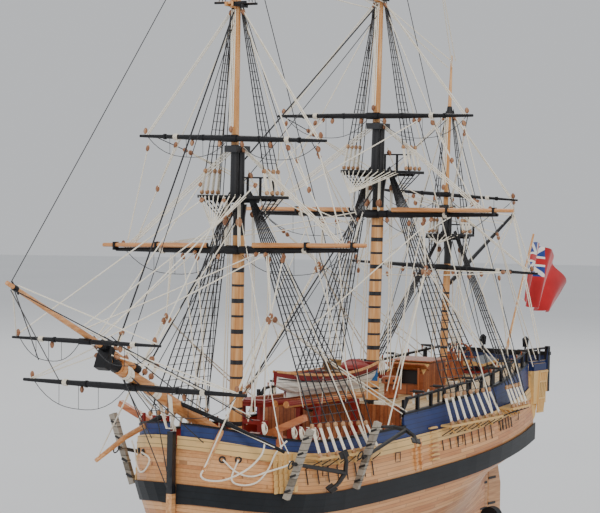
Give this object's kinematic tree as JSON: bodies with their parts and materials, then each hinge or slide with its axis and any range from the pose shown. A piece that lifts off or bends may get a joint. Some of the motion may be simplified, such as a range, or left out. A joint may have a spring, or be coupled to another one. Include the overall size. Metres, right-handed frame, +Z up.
{
  "type": "tall ship display model",
  "caption": "Fully rigged three-masted bark modelled in wood on a black cradle, with bare yards, a boat on deck, anchors and an ensign at the stern.",
  "frame": {"origin": "Middle of the model's bounding box in plan, on the surface that the cradle stands on.", "axes": "+X runs from stern to bow along the hull and bowsprit, +Y is the ship's port side, +Z is up."},
  "size_m": [0.8062, 0.246, 0.594],
  "materials": {
    "hull_planking": "satin varnished planking",
    "keel_timber": "satin varnished timber",
    "black_paint": "black painted wood, satin",
    "yellow_paint": "cream-yellow painted wood, satin",
    "blue_paint": "blue painted wood, satin",
    "deck_planking": "pale planked deck, matte",
    "spar_wood": "varnished round spar wood",
    "red_paint": "red painted wood, satin",
    "white_paint": "white painted wood, satin",
    "anchor_wood": "grey stained wood and black iron, matte",
    "brown_wood": "brown stained wood, satin",
    "rigging_line": "black waxed thread, matte",
    "ensign_cloth": "red woven cloth, matte"
  },
  "bodies": {
    "ship": {"cradle": "black_paint", "main_wale_port": "black_paint", "main_wale_starboard": "black_paint", "fore_top": "black_paint", "main_top": "black_paint", "mizzen_top": "black_paint", "spritsail_yard": "black_paint", "sprit_topsail_yard": "black_paint", "fore_yard": "black_paint", "fore_topsail_yard": "black_paint", "fore_topgallant_yard": "black_paint", "main_yard": "black_paint", "main_topsail_yard": "black_paint", "main_topgallant_yard": "black_paint", "crossjack_yard": "black_paint", "mizzen_topsail_yard": "black_paint", "gaff": "black_paint", "hull": "hull_planking", "backbone": "keel_timber", "sheer_strake_port": "yellow_paint", "sheer_strake_starboard": "yellow_paint", "transom": "yellow_paint", "bulwark_port": "blue_paint", "bulwark_starboard": "blue_paint", "main_deck": "deck_planking", "quarterdeck": "deck_planking", "companion": "brown_wood", "wheel_stand": "red_paint", "skylight": "red_paint", "boat": "white_paint", "spare_spars": "spar_wood", "fore_lower_mast": "spar_wood", "main_lower_mast": "spar_wood", "mizzen_lower_mast": "spar_wood", "fore_topmast": "spar_wood", "main_topmast": "spar_wood", "mizzen_topmast": "spar_wood", "fore_topgallant_mast": "spar_wood", "main_topgallant_mast": "spar_wood", "bowsprit": "spar_wood", "jibboom": "spar_wood", "ensign_staff": "spar_wood", "ensign": "ensign_cloth", "port_bower_anchor": "anchor_wood", "starboard_bower_anchor": "anchor_wood", "port_sheet_anchor": "anchor_wood", "fore_shrouds_port": "rigging_line", "fore_shrouds_starboard": "rigging_line", "main_shrouds_port": "rigging_line", "main_shrouds_starboard": "rigging_line", "mizzen_shrouds_port": "rigging_line", "mizzen_shrouds_starboard": "rigging_line", "fore_stay": "rigging_line", "fore_topmast_stay": "rigging_line", "main_stay": "rigging_line", "main_topmast_stay": "rigging_line"},
    "rudder": {"rudder": "keel_timber"},
    "wheel": {"steering_wheel": "brown_wood"},
    "capstan": {"capstan": "brown_wood"},
    "windlass": {"windlass": "brown_wood"}
  },
  "joints": [
    {"name": "rudder_swing", "type": "hinge", "parent": "ship", "child": "rudder", "pos_m": [-0.24933, 0, 0.06], "axis": [0, 0, 1], "range_deg": [-30, 30]},
    {"name": "wheel_turn", "type": "hinge", "parent": "ship", "child": "wheel", "pos_m": [-0.19793, 0, 0.1698], "axis": [1, 0, 0], "range_deg": [-360, 360]},
    {"name": "capstan_spin", "type": "hinge", "parent": "ship", "child": "capstan", "pos_m": [-0.07893, 0, 0.15], "axis": [0, 0, 1], "continuous": true},
    {"name": "windlass_spin", "type": "hinge", "parent": "ship", "child": "windlass", "pos_m": [0.11707, 0, 0.1265], "axis": [0, 1, 0], "continuous": true}
  ],
  "couplings": [
    {"joint": "wheel_turn", "follows": "rudder_swing", "ratio": 12}
  ]
}
